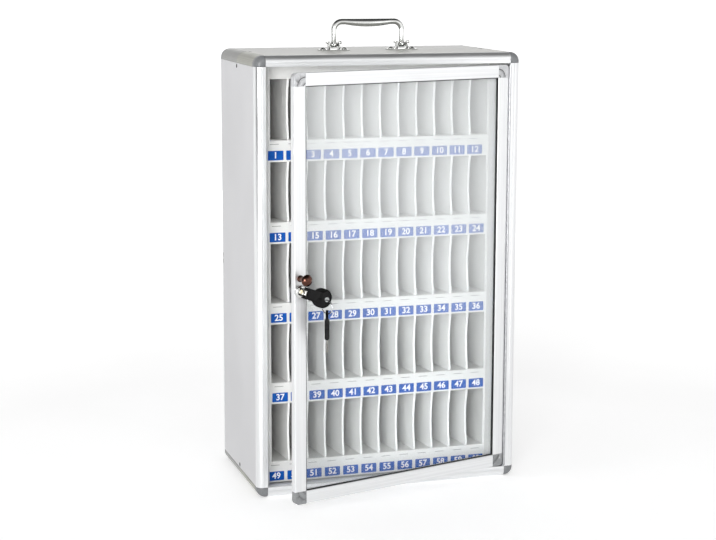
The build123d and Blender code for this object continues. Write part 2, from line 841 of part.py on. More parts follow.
# ---------------------------------------------------------------- pull knob
dome_radius = (knob_head_radius**2 + knob_dome_height**2) / (2 * knob_dome_height)
dome_mid = knob_head_radius / 2
rim_depth = knob_reach - knob_dome_height
with BuildPart() as pull_knob:
    with BuildSketch(Plane(origin=knob_plane.origin, x_dir=(1, 0, 0), z_dir=(0, 0, 1))) as knob_section:
        with BuildLine():
            Polyline(
                (0, -knob_reach),
                (0, 0),
                (knob_foot_radius, 0),
                (knob_foot_radius, -knob_foot_height),
                (knob_neck_radius, -knob_foot_height - knob_foot_radius + knob_neck_radius),
                (knob_neck_radius, -knob_reach + knob_head_depth),
                (knob_head_radius, -rim_depth),
            )
            ThreePointArc(
                (knob_head_radius, -rim_depth),
                (dome_mid, -knob_reach + dome_radius - sqrt(dome_radius**2 - dome_mid**2)),
                (0, -knob_reach),
            )
        make_face()
        # soften the rim between the dome and the back of the mushroom head
        fillet(knob_section.vertices().sort_by(Axis.X)[-1], knob_rim_round)
    revolve(axis=Axis(knob_plane.origin, (0, -1, 0)))
    with Locations(knob_plane):
        Cylinder(knob_screw_radius, knob_screw_grip, align=upward, mode=Mode.SUBTRACT)
save(pull_knob, "pull_knob", door_pose)

with BuildPart() as knob_screw:
    with Locations(knob_plane.offset(-door_thickness)):
        Cylinder(knob_screw_head_radius, knob_screw_head_height, align=downward)
        Cylinder(knob_screw_radius, door_thickness + knob_screw_grip, align=upward)
    chamfer(knob_screw.faces().sort_by(Axis.Y)[-1].edges(), knob_screw_head_height / 2)
save(knob_screw, "knob_screw", door_pose)

# ---------------------------------------------------------------- keys
# A blade plane has X through the blade's thickness and Z from its tip to the fold pin.
# A bow plane has X from the fold pin to the end of the bow and Z along its hole.
hole_reach = bow_length - bow_hole_inset


def key_blade(plane):
    """Key blade with its fold boss, measured from the door face at the plane's origin."""
    half = blade_width / 2
    bevel = blade_width / 3
    with BuildPart() as blade:
        side_view = Plane(origin=plane.origin, x_dir=plane.y_dir, z_dir=plane.x_dir)
        with BuildSketch(side_view):
            with BuildLine():
                Polyline(
                    (-half, fold_standoff),
                    (-half, bevel - blade_reach),
                    (bevel - half, -blade_reach),
                    (half - bevel, -blade_reach),
                    (half, bevel - blade_reach),
                    (half, fold_standoff),
                    close=True,
                )
            make_face()
            for index in range(notch_count):
                with Locations((half, bevel - blade_reach + (index + 0.5) * notch_pitch)):
                    Rectangle(2 * notch_depth, notch_depth, rotation=45, mode=Mode.SUBTRACT)
        extrude(amount=blade_thickness / 2, both=True)
        pivot = Plane(
            origin=plane.origin + plane.z_dir * fold_standoff, x_dir=plane.x_dir, z_dir=plane.y_dir
        )
        with Locations(pivot):
            Cylinder(boss_radius, blade_width)
            Cylinder(fold_pin_radius + fold_clearance, blade_width, mode=Mode.SUBTRACT)
    return blade


def key_bow(plane):
    """Moulded key bow with a fork, a fold pin and a ring hole."""
    cheek = bow_neck_thickness / 2
    bow_run = bow_length - bow_width / 2
    slot_half = boss_radius + fork_clearance
    with BuildPart() as bow:
        with BuildSketch(plane):
            with Locations(((bow_run - cheek) / 2, 0)):
                Rectangle(bow_run + cheek, bow_neck)
        extrude(amount=cheek, both=True)
        fork_end = plane.origin - plane.x_dir * cheek
        rounded = bow.edges().filter_by(lambda e: abs((e.center() - fork_end).dot(plane.x_dir)) < 0.01)
        fillet(rounded.filter_by(lambda e: abs(e.tangent_at(0.5).dot(plane.y_dir)) > 0.9), cheek * 0.95)
        with BuildSketch(plane):
            with Locations((bow_length - bow_width / 2, 0)):
                RectangleRounded(bow_width, bow_width, bow_round)
        extrude(amount=bow_thickness / 2, both=True)
        with BuildSketch(plane.offset(-cheek)):
            with Locations((slot_half - cheek, 0)):
                Rectangle(2 * cheek, blade_width + 2 * fork_clearance)
        extrude(amount=2 * cheek, mode=Mode.SUBTRACT)
        with BuildSketch(plane.offset(-cheek)):
            with Locations((hole_reach, 0)):
                Circle(bow_hole_radius)
        extrude(amount=2 * cheek, mode=Mode.SUBTRACT)
        with Locations(Plane(origin=plane.origin, x_dir=plane.x_dir, z_dir=plane.y_dir)):
            Cylinder(fold_pin_radius, bow_neck)
    return bow


fold = radians(fold_rest)
key_out = Vector(0, -1, 0)
pivot_point = key_plane.origin + key_out * fold_standoff
bow_reach = key_side * cos(fold) + key_out * sin(fold)
bow_plane = Plane(origin=pivot_point, x_dir=bow_reach, z_dir=key_out * cos(fold) - key_side * sin(fold))
save(key_blade(key_plane), "key_blade", door_pose)
save(key_bow(bow_plane), "key_bow", door_pose)

# the ring hangs in the bow's hole and the spare key hangs on the ring
thread_drop = bow_hole_radius - ring_wire_radius - ring_slack
hole_point = pivot_point + bow_reach * hole_reach
ring_middle = hole_point - Vector(0, 0, thread_drop + ring_radius)
ring_side = Vector(cos(radians(ring_turn)), sin(radians(ring_turn)), 0)
with BuildPart() as key_ring:
    with Locations(Plane(origin=ring_middle, x_dir=(0, 0, 1), z_dir=ring_side)):
        Torus(ring_radius, ring_wire_radius)
save(key_ring, "key_ring", door_pose)

up = Vector(0, 0, 1)
spare_hole = ring_middle - up * (ring_radius + thread_drop)
spare_out = Vector(sin(radians(spare_turn)), -cos(radians(spare_turn)), 0)
spare_pivot = spare_hole - up * hole_reach
spare_bow_plane = Plane(origin=spare_pivot, x_dir=up, z_dir=spare_out)
spare_blade_plane = Plane(origin=spare_pivot - up * fold_standoff, x_dir=-spare_out, z_dir=up)
save(key_blade(spare_blade_plane), "spare_key_blade", door_pose)
save(key_bow(spare_bow_plane), "spare_key_bow", door_pose)

# ---------------------------------------------------------------- carrying handle
pivot_z = case_height + handle_pivot_height
grip_z = case_height + handle_reach - leg_radius
leg_x = handle_span / 2
bend = handle_bend - leg_radius
bend_mid = bend * (1 - cos(radians(45)))
with BuildPart() as bail_handle:
    with BuildLine():
        Line((-leg_x, 0, pivot_z), (-leg_x, 0, grip_z - bend))
        ThreePointArc(
            (-leg_x, 0, grip_z - bend), (-leg_x + bend_mid, 0, grip_z - bend_mid), (-leg_x + bend, 0, grip_z)
        )
        Line((-leg_x + bend, 0, grip_z), (-grip_length / 2, 0, grip_z))
    with BuildSketch(Plane(origin=(-leg_x, 0, pivot_z), x_dir=(1, 0, 0), z_dir=(0, 0, 1))):
        Circle(leg_radius)
    sweep()
    mirror(about=Plane.YZ)
    # the grip is straight along its top and swells downwards in its middle
    for station in (-1, 0, 1):
        swell = (grip_radius - leg_radius) * (1 - abs(station))
        grip_point = (station * grip_length / 2, 0, grip_z - swell)
        with BuildSketch(Plane(origin=grip_point, x_dir=(0, 1, 0), z_dir=(1, 0, 0))):
            Circle(leg_radius + swell)
    loft()
    # cross eyes and the trunnions that turn in the brackets
    for side in (-1, 1):
        with Locations(Plane(origin=(side * leg_x, 0, pivot_z), x_dir=(0, 1, 0), z_dir=(1, 0, 0))):
            Cylinder(eye_radius, eye_length)
            Cylinder(trunnion_radius, ear_spacing + bracket_thickness + 2 * trunnion_clearance)
save(bail_handle, "bail_handle")

ear_round = ear_width / 2
with BuildPart() as handle_brackets:
    for side in (-1, 1):
        with Locations((side * leg_x, 0, case_height)):
            Box(bracket_length, bracket_width, bracket_thickness, align=upward)
        with Locations(*[(side * leg_x + end * rivet_spacing / 2, 0, case_height) for end in (-1, 1)]):
            Cylinder(
                rivet_shank_radius + screw_clearance,
                bracket_thickness,
                align=upward,
                mode=Mode.SUBTRACT,
            )
        for end in (-1, 1):
            ear_x = side * leg_x + end * ear_spacing / 2
            with Locations((ear_x, 0, case_height)):
                Box(bracket_thickness, ear_width, ear_height, align=upward)
            curl_x = ear_x + end * (ear_curl_radius - bracket_thickness / 2)
            curl = Plane(origin=(curl_x, 0, case_height + ear_height), x_dir=(1, 0, 0), z_dir=(0, 1, 0))
            with Locations(curl):
                Cylinder(ear_curl_radius, ear_width)
            with Locations(Plane(origin=(ear_x, 0, pivot_z), x_dir=(0, 1, 0), z_dir=(1, 0, 0))):
                Cylinder(
                    trunnion_radius + trunnion_clearance,
                    bracket_thickness + 2 * trunnion_clearance,
                    mode=Mode.SUBTRACT,
                )
save(handle_brackets, "handle_brackets")

with BuildPart() as handle_rivets:
    seat_z = case_height + bracket_thickness
    cap_radius = (rivet_head_radius**2 + rivet_head_height**2) / (2 * rivet_head_height)
    for x, y in rivet_places:
        section_plane = Plane(origin=(x, y, seat_z), x_dir=(1, 0, 0), z_dir=(0, -1, 0))
        mid = rivet_head_radius / 2
        with BuildSketch(section_plane):
            with BuildLine():
                ThreePointArc(
                    (0, rivet_head_height),
                    (mid, rivet_head_height - cap_radius + sqrt(cap_radius**2 - mid**2)),
                    (rivet_head_radius, 0),
                )
                Polyline((rivet_head_radius, 0), (0, 0), (0, rivet_head_height))
            make_face()
        revolve(axis=Axis((x, y, seat_z), (0, 0, 1)))
        with Locations((x, y, seat_z)):
            Cylinder(rivet_shank_radius, bracket_thickness + panel_thickness, align=downward)
        with Locations((x, y, case_height - panel_thickness)):
            Cylinder(rivet_shank_radius * 1.5, rivet_tail_height, align=downward)
save(handle_rivets, "handle_rivets")
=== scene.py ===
# %% [markdown]
# # Dressing a cell phone locker box
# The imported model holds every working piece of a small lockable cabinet: an aluminium framed case, a tray of
# numbered slots, a clear door with a cam lock, folding keys and a bail handle. Here each piece gets its finish,
# and the small things that make it look used and made are added: numbers, smooth curves, screw slots.

# %% Load the frame
import json
import math

import bmesh
import bpy
from mathutils import Matrix, Vector


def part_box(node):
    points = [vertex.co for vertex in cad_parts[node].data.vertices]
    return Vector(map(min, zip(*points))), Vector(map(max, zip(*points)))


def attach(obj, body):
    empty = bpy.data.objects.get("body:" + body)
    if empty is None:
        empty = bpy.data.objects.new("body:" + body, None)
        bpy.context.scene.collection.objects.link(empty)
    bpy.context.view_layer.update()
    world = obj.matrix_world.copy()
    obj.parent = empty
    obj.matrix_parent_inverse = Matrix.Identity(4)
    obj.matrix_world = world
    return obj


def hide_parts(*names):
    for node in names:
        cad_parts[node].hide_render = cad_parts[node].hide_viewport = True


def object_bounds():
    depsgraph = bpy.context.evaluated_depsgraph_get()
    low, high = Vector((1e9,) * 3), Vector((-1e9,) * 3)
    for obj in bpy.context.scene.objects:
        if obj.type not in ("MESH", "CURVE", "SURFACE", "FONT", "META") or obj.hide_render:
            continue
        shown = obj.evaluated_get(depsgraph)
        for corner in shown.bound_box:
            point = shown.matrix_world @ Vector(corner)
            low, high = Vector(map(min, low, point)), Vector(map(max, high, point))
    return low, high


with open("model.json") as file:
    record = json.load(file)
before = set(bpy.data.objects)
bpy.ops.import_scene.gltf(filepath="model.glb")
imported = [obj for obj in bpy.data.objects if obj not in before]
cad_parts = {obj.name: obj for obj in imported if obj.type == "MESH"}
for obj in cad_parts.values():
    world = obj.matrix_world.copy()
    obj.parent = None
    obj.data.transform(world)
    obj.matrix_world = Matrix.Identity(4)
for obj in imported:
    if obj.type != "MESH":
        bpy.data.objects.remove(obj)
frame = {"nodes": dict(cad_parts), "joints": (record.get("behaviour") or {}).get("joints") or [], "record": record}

cad_low, cad_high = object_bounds()
nodes = frame["nodes"]
MM = 0.001
print("CAD nodes:", len(nodes), "size in metres:", [round(v, 4) for v in cad_high - cad_low])

# %% [markdown]
# ## Finding places on the frame
# The door stands open, so boxes along the axes don't fit its pieces. The joint says how far it is open: its lower
# limit is the shut door. Turning a door piece back by that angle gives a tidy box, and the same turn brings what
# is modelled on the shut door to its place.

# %% The door's turn
joints = {joint["name"]: joint for joint in frame["joints"]}
door_hinge = joints["door_hinge"]
door_open = math.radians(-door_hinge["range_deg"][0])
hinge_point = Vector(door_hinge["pos_m"])
door_pose = Matrix.Translation(hinge_point) @ Matrix.Rotation(door_open, 4, "Z") @ Matrix.Translation(-hinge_point)


def shut_box(node):
    """Lowest and highest corner of a door piece, measured with the door shut."""
    back_turn = door_pose.inverted()
    points = [back_turn @ vertex.co for vertex in nodes[node].data.vertices]
    low = Vector(min(point[axis] for point in points) for axis in range(3))
    high = Vector(max(point[axis] for point in points) for axis in range(3))
    return low, high


print("door stands open by", round(math.degrees(door_open), 2), "degrees")

# %% [markdown]
# ## Small helpers for finishes
# A finish is a Principled shader whose colour, roughness and bump come from noise on Object coordinates. Object
# coordinates are metres here, so a noise scale of 500 makes grains about 2 mm across. Real edges are never knife
# sharp, and the Bevel node rounds them in the shading, which catches light along every fold and cut end.

# %% Finish helpers
def srgb(code):
    """Linear colour, with alpha, from a hex code as a colour picker shows it."""
    parts = [int(code[i:i + 2], 16) / 255 for i in (1, 3, 5)]
    linear = [p / 12.92 if p <= 0.04045 else ((p + 0.055) / 1.055) ** 2.4 for p in parts]
    return (*linear, 1.0)


def start_finish(name, metallic=0.0, roughness=0.5):
    """New material; returns it, its node tree and its Principled shader."""
    material = bpy.data.materials.new(name)
    material.use_nodes = True
    tree = material.node_tree
    shader = tree.nodes["Principled BSDF"]
    shader.inputs["Metallic"].default_value = metallic
    shader.inputs["Roughness"].default_value = roughness
    return material, tree, shader


def grain(tree, scale, stretch=(1, 1, 1), detail=3.0):
    """Noise on Object coordinates; a small stretch value draws the grain out along that axis."""
    place = tree.nodes.new("ShaderNodeTexCoord")
    mapping = tree.nodes.new("ShaderNodeMapping")
    mapping.inputs["Scale"].default_value = stretch
    noise = tree.nodes.new("ShaderNodeTexNoise")
    noise.inputs["Scale"].default_value = scale
    noise.inputs["Detail"].default_value = detail
    tree.links.new(place.outputs["Object"], mapping.inputs["Vector"])
    tree.links.new(mapping.outputs["Vector"], noise.inputs["Vector"])
    return noise.outputs["Fac"]


def mix_colours(tree, factor, first, second):
    """Colour that goes from the first socket's colour to the second as factor goes from 0 to 1."""
    mix = tree.nodes.new("ShaderNodeMix")
    mix.data_type = "RGBA"
    tree.links.new(factor, mix.inputs["Factor"])
    tree.links.new(first, mix.inputs["A"])
    if isinstance(second, tuple):
        mix.inputs["B"].default_value = second
    else:
        tree.links.new(second, mix.inputs["B"])
    return mix.outputs["Result"]


def height_along(tree, axis, low, high):
    """Value that runs from 0 at low to 1 at high along one object axis, in metres."""
    place = tree.nodes.new("ShaderNodeTexCoord")
    split = tree.nodes.new("ShaderNodeSeparateXYZ")
    ramp = tree.nodes.new("ShaderNodeMapRange")
    ramp.inputs["From Min"].default_value = low
    ramp.inputs["From Max"].default_value = high
    tree.links.new(place.outputs["Object"], split.inputs["Vector"])
    tree.links.new(split.outputs[axis], ramp.inputs["Value"])
    return ramp.outputs["Result"]


def between(tree, factor, first, second, start=0.35, end=0.65):
    """Colour between two colours as factor goes from start to end."""
    ramp = tree.nodes.new("ShaderNodeValToRGB")
    ramp.color_ramp.elements[0].position = start
    ramp.color_ramp.elements[0].color = first
    ramp.color_ramp.elements[1].position = end
    ramp.color_ramp.elements[1].color = second
    tree.links.new(factor, ramp.inputs["Fac"])
    return ramp.outputs["Color"]


def spread(tree, factor, low, high):
    """Number between low and high as noise goes from 0.3 to 0.7."""
    ramp = tree.nodes.new("ShaderNodeMapRange")
    ramp.inputs["From Min"].default_value = 0.3
    ramp.inputs["From Max"].default_value = 0.7
    ramp.inputs["To Min"].default_value = low
    ramp.inputs["To Max"].default_value = high
    tree.links.new(factor, ramp.inputs["Value"])
    return ramp.outputs["Result"]


def relief(tree, shader, height, depth, edge=0.0):
    """Bump of a real depth in metres, with edges rounded in the shading by edge metres."""
    bump = tree.nodes.new("ShaderNodeBump")
    bump.inputs["Distance"].default_value = depth
    bump.inputs["Strength"].default_value = 1.0
    tree.links.new(height, bump.inputs["Height"])
    if edge:
        bevel = tree.nodes.new("ShaderNodeBevel")
        bevel.samples = 4
        bevel.inputs["Radius"].default_value = edge
        tree.links.new(bevel.outputs["Normal"], bump.inputs["Normal"])
    tree.links.new(bump.outputs["Normal"], shader.inputs["Normal"])


def dress(node, finish):
    """Give a CAD node one finish; its mesh stays as it is."""
    nodes[node].data.materials.clear()
    nodes[node].data.materials.append(finish)


# %% [markdown]
# ## Anodised aluminium
# The profiles are extruded and anodised: a soft satin metal with faint die lines that run along the bar. Long
# thin noise, drawn out along the bar's own axis, gives the lines, so there is one finish for each direction.

# %% Aluminium profiles
ALONG = {"X": (0.004, 1, 1), "Y": (1, 0.004, 1), "Z": (1, 1, 0.004)}


def anodised(name, axis, dark, light):
    material, tree, shader = start_finish(name, metallic=0.85)
    lines = grain(tree, 1400, ALONG[axis])
    cloud = grain(tree, 18)
    tree.links.new(between(tree, lines, srgb(dark), srgb(light)), shader.inputs["Base Color"])
    tree.links.new(spread(tree, cloud, 0.3, 0.42), shader.inputs["Roughness"])
    relief(tree, shader, lines, 0.000012, edge=0.0003)
    return material


bright = {axis: anodised(f"anodised_bar_{axis.lower()}", axis, "#e0e1e2", "#ebeced") for axis in "XYZ"}

for side in ("front", "rear"):
    for place in ("left", "right", "top", "bottom"):
        dress(f"{side}_edge_{place}", bright["Z" if place in ("left", "right") else "X"])
print("bar finishes:", [material.name for material in bright.values()])

# %% [markdown]
# ## Long edges in two tones
# From front to back the case has shorter bars that meet at mid depth. The rear length is a darker grey and the
# front length a lighter one with a touch of olive. A hard step in a ramp along Y changes the tone at the joint.

# %% Long edges
def two_tone(name, rear_dark, rear_light, front_dark, front_light):
    material, tree, shader = start_finish(name, metallic=0.55)
    lines = grain(tree, 1100, ALONG["Y"])
    rear = between(tree, lines, srgb(rear_dark), srgb(rear_light))
    fore = between(tree, lines, srgb(front_dark), srgb(front_light))
    step = height_along(tree, "Y", -0.0001, 0.0001)
    tree.links.new(mix_colours(tree, step, fore, rear), shader.inputs["Base Color"])
    tree.links.new(spread(tree, grain(tree, 30), 0.36, 0.48), shader.inputs["Roughness"])
    relief(tree, shader, lines, 0.00001, edge=0.0003)
    return material


edge_tones = two_tone("two_tone_bar", "#999997", "#a5a5a3", "#a0a097", "#acaca3")
for level in ("bottom", "top"):
    for side in ("left", "right"):
        dress(f"long_edge_{level}_{side}", edge_tones)
print("long edges done")

# %% [markdown]
# ## Laminated panels
# Sides, top, bottom and back are boards faced with a pale grey film. The film has a fine orange peel, far finer
# than a fingertip, and a slow drift of tone that keeps a large flat face from looking printed.

# %% Panels
def laminate(name, dark, light, rear_light=None):
    material, tree, shader = start_finish(name)
    drift = grain(tree, 6, detail=2)
    colour = between(tree, drift, srgb(dark), srgb(light))
    if rear_light:
        depth = height_along(tree, "Y", cad_low.y / 2, cad_high.y)
        colour = mix_colours(tree, depth, colour, srgb(rear_light))
    tree.links.new(colour, shader.inputs["Base Color"])
    peel = grain(tree, 900, detail=2)
    tree.links.new(spread(tree, peel, 0.36, 0.5), shader.inputs["Roughness"])
    relief(tree, shader, peel, 0.00002, edge=0.0004)
    return material


side_film = laminate("side_film", "#d8d8da", "#dfdfe1")
# Painted shade: the top film is darker than the side film because the top gets less light; towards the rear it turns a
# plainer grey.
top_film_painted_shade = laminate("top_film_painted_shade", "#c6c6bf", "#cdcdc6", rear_light="#c3c3c1")
for name, film in (
    ("side_panel_left", side_film),
    ("side_panel_right", side_film),
    ("bottom_panel", side_film),
    ("back_panel", side_film),
    ("top_panel", top_film_painted_shade),
):
    dress(name, film)
print("panels done")

# %% [markdown]
# ## The slot tray
# The tray is cut from white board. It is plain, so its look comes from light falling into the slots. A very weak
# tone drift and a soft satin sheen are enough. The thin dividers get a whiter copy of the board than the shelves,
# painted light that brightens the slots, and the bent strip beside the hinge, which lies in the door's shade, gets a
# darker copy, painted shade.

# %% Tray board
def tray_board(name, dark, light):
    material, tree, shader = start_finish(name)
    drift = grain(tree, 9, detail=4)
    tree.links.new(between(tree, drift, srgb(dark), srgb(light)), shader.inputs["Base Color"])
    skin = grain(tree, 700, detail=2)
    tree.links.new(spread(tree, skin, 0.42, 0.55), shader.inputs["Roughness"])
    relief(tree, shader, skin, 0.000015, edge=0.0003)
    return material


shelf_board = tray_board("shelf_board", "#e0e0de", "#e8e8e6")
# Painted light: the dividers get a whiter board than the shelves, so the slots look brighter.
divider_board_painted_light = tray_board("divider_board_painted_light", "#fafaf8", "#fdfdfc")
tray_names = [name for name in nodes if name.startswith(("tray_", "shelf_", "dividers_"))]
for name in tray_names:
    dress(name, divider_board_painted_light if name.startswith("dividers_") else shelf_board)
# Painted shade: a darker board for the strip that lies in the door's shade.
painted_shade_board = tray_board("painted_shade_board", "#c8c8c6", "#d0d0ce")
dress("tray_surround_right", painted_shade_board)
print("tray pieces:", len(tray_names))

# %% [markdown]
# ## Clear window and its black seal
# The window is a 2.5 mm acrylic sheet. Real sheets let lamps through, but a renderer treats refracting glass as a
# shadow caster, so rays from lamps are sent through a Transparent shader. The sheet also carries a whitish haze that
# is a painted reflection of the ceiling's glare, with a little of the acrylic's own faint haze. It grows towards the
# upper right corner, so Transmission falls along a leaning ramp.

# %% Window and seal
# Painted reflection: the leaning haze ramp stands for the ceiling's glare on the sheet.
GLARE_HAZE_LEAN = math.radians(-24)
GLARE_HAZE_START, GLARE_HAZE_END = 0.17, 0.37
LEAST_GLARE_TRANSMISSION, MOST_GLARE_TRANSMISSION = 0.99, 0.76


def clear_acrylic():
    material, tree, shader = start_finish("clear_acrylic", roughness=0.03)
    shader.inputs["Base Color"].default_value = (0.86, 0.875, 0.88, 1)
    shader.inputs["IOR"].default_value = 1.4
    place = tree.nodes.new("ShaderNodeTexCoord")
    lean = tree.nodes.new("ShaderNodeMapping")
    lean.inputs["Rotation"].default_value = (0, GLARE_HAZE_LEAN, 0)
    split = tree.nodes.new("ShaderNodeSeparateXYZ")
    ramp = tree.nodes.new("ShaderNodeMapRange")
    ramp.inputs["From Min"].default_value = GLARE_HAZE_START
    ramp.inputs["From Max"].default_value = GLARE_HAZE_END
    ramp.inputs["To Min"].default_value = LEAST_GLARE_TRANSMISSION
    ramp.inputs["To Max"].default_value = MOST_GLARE_TRANSMISSION
    tree.links.new(place.outputs["Object"], lean.inputs["Vector"])
    tree.links.new(lean.outputs["Vector"], split.inputs["Vector"])
    tree.links.new(split.outputs["Z"], ramp.inputs["Value"])
    tree.links.new(ramp.outputs["Result"], shader.inputs["Transmission Weight"])
    lamp_ray = tree.nodes.new("ShaderNodeLightPath")
    see_through = tree.nodes.new("ShaderNodeBsdfTransparent")
    see_through.inputs["Color"].default_value = (0.95, 0.96, 0.965, 1)
    mix = tree.nodes.new("ShaderNodeMixShader")
    output = tree.nodes["Material Output"]
    tree.links.new(lamp_ray.outputs["Is Shadow Ray"], mix.inputs["Fac"])
    tree.links.new(shader.outputs["BSDF"], mix.inputs[1])
    tree.links.new(see_through.outputs["BSDF"], mix.inputs[2])
    tree.links.new(mix.outputs["Shader"], output.inputs["Surface"])
    return material


def soft_rubber(name, dark, light):
    material, tree, shader = start_finish(name)
    speck = grain(tree, 1500)
    tree.links.new(between(tree, speck, srgb(dark), srgb(light)), shader.inputs["Base Color"])
    tree.links.new(spread(tree, speck, 0.55, 0.72), shader.inputs["Roughness"])
    relief(tree, shader, speck, 0.00002, edge=0.0002)
    return material


dress("door_window", clear_acrylic())
# Painted shade, in part: the seal's black stands for the shade on the stile's inner wall.
dress("window_seal", soft_rubber("black_seal_painted_shade", "#101010", "#1b1b1b"))
print("window and seal done")

# %% [markdown]
# ## Small metal and moulded parts
# Handle and lock are chromed, hinge and cam are zinc plated, the pull knob is a dark mirror, key blades are
# nickel plated and key bows are glossy black mouldings. One helper covers the metals, because they differ only in
# tone, polish and how much their surface wanders.

# %% Metals and mouldings
def metal(name, dark, light, smooth, rough, wander=60, depth=0.000006, edge=0.00025):
    material, tree, shader = start_finish(name, metallic=1.0)
    cloud = grain(tree, wander)
    tree.links.new(between(tree, cloud, srgb(dark), srgb(light)), shader.inputs["Base Color"])
    tree.links.new(spread(tree, cloud, smooth, rough), shader.inputs["Roughness"])
    relief(tree, shader, grain(tree, 900), depth, edge=edge)
    return material


def moulding(name, dark, light, smooth, rough, edge=0.0005, gloss=0.5):
    material, tree, shader = start_finish(name)
    skin = grain(tree, 800, detail=5)
    tree.links.new(between(tree, skin, srgb(dark), srgb(light)), shader.inputs["Base Color"])
    tree.links.new(spread(tree, skin, smooth, rough), shader.inputs["Roughness"])
    shader.inputs["Specular IOR Level"].default_value = gloss
    relief(tree, shader, skin, 0.00001, edge=edge)
    return material


chrome = metal("polished_chrome", "#c9cac8", "#dedfdd", 0.06, 0.12)
zinc = metal("zinc_plate", "#9b9c9e", "#b4b5b6", 0.3, 0.46, wander=220)
hinge_metal = metal("hinge_metal", "#a4a5a8", "#b9babc", 0.28, 0.4, wander=160)
brass = metal("satin_brass", "#c2bba6", "#d3ccb8", 0.25, 0.36, wander=200)
dark_mirror = metal("dark_mirror", "#54382f", "#694840", 0.06, 0.12)
nickel = metal("nickel_plate", "#8c8b87", "#a3a29e", 0.16, 0.28, wander=300)
grey_cap = moulding("grey_cap", "#76787a", "#828486", 0.3, 0.42)
dark_screw = moulding("dark_screw", "#0c0c0d", "#151515", 0.5, 0.65, edge=0.0001, gloss=0.05)
black_bow = moulding("black_bow", "#050505", "#0b0b0c", 0.12, 0.2, gloss=0.18)
plain_nodes = {
    "hinge_leaf_frame": hinge_metal,
    "hinge_leaf_door": hinge_metal,
    "hinge_pin": zinc,
    "lock_nut": zinc,
    "lock_plug": brass,
    "lock_cam": zinc,
    "door_corners": grey_cap,
    "door_stile_free": bright["Z"],
    "door_stile_hinge": bright["Z"],
}
for name, finish in plain_nodes.items():
    dress(name, finish)
print("plain nodes:", len(plain_nodes))

# %% [markdown]
# The rails of the door run along its width, and the door is turned, so the die lines need their own direction.
# A Mapping rotated by the door's angle draws the grain out along the rail.

# %% Door rails
def anodised_rail():
    material, tree, shader = start_finish("anodised_rail", metallic=0.85)
    lines = grain(tree, 1400, ALONG["X"])
    mapping = next(node for node in tree.nodes if node.bl_idname == "ShaderNodeMapping")
    mapping.vector_type = "TEXTURE"
    mapping.inputs["Rotation"].default_value = (0, 0, door_open)
    mapping.inputs["Scale"].default_value = [1 / value for value in ALONG["X"]]
    tree.links.new(between(tree, lines, srgb("#e0e1e2"), srgb("#ebeced")), shader.inputs["Base Color"])
    tree.links.new(spread(tree, grain(tree, 18), 0.3, 0.42), shader.inputs["Roughness"])
    relief(tree, shader, lines, 0.000012, edge=0.0003)
    return material


rail_finish = anodised_rail()
for name in ("door_rail_top", "door_rail_bottom"):
    dress(name, rail_finish)
print("rails done")

# %% [markdown]
# ## Smooth curves
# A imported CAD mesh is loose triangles, so rounded pieces show facets. The node itself stays untouched. A copy of
# it is welded with Merge by Distance and shaded smooth below 30 degrees, and that copy stands in for the node.

# %% Weld and smooth the rounded pieces
WELD = 0.000002


def deselect():
    bpy.ops.object.select_all(action="DESELECT")


def make_active(piece):
    deselect()
    piece.hide_set(False)
    piece.select_set(True)
    bpy.context.view_layer.objects.active = piece


def settle(piece, body, finish):
    """Put the object's origin at the world origin and give the piece its body and, in one material slot, its finish.
    """
    make_active(piece)
    bpy.ops.object.transform_apply(location=True, rotation=True, scale=True)
    piece.data.materials.clear()
    piece.data.materials.append(finish)
    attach(piece, body)
    return piece


bodies = {name: body for body, names in frame["record"]["behaviour"]["bodies"].items() for name in names}


def smooth_copy(node, finish, angle=30):
    source = nodes[node]
    piece = bpy.data.objects.new(f"smooth_{node}", source.data.copy())
    bpy.context.scene.collection.objects.link(piece)
    make_active(piece)
    bpy.ops.object.mode_set(mode="EDIT")
    bpy.ops.mesh.select_all(action="SELECT")
    bpy.ops.mesh.remove_doubles(threshold=WELD)
    bpy.ops.object.mode_set(mode="OBJECT")
    bpy.ops.object.shade_smooth_by_angle(angle=math.radians(angle))
    settle(piece, bodies[node], finish)
    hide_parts(node)
    return piece


rounded = {
    "front_corner_caps": grey_cap,
    "rear_corner_caps": grey_cap,
    "bail_handle": chrome,
    "handle_brackets": chrome,
    "handle_rivets": chrome,
    "pull_knob": dark_mirror,
    "lock_body": chrome,
    "key_bow": black_bow,
    "spare_key_bow": black_bow,
    "key_blade": nickel,
    "spare_key_blade": nickel,
    "cam_screw": zinc,
    "knob_screw": zinc,
}
for side in ("front", "rear"):
    for place in ("left", "right", "top", "bottom"):
        rounded[f"{side}_edge_{place}"] = bright["Z" if place in ("left", "right") else "X"]
for level in ("bottom", "top"):
    for side in ("left", "right"):
        rounded[f"long_edge_{level}_{side}"] = edge_tones
for name, finish in rounded.items():
    smooth_copy(name, finish)
print("smoothed pieces:", len(rounded))

# %% [markdown]
# ## Fuller handle
# The bail is a stout tube, a little thicker than its solid. A vertex group that rises from 0 at the eyes to 1
# above the brackets drives two Displace modifiers: one pushes the skin outwards, the other lowers it by the same
# amount, so the grip's top stays where it was.

# %% Thicken the bail
def apply_modifier(piece, kind, **settings):
    make_active(piece)
    modifier = piece.modifiers.new(kind.title(), kind)
    for key, value in settings.items():
        setattr(modifier, key, value)
    bpy.ops.object.modifier_apply(modifier=modifier.name)


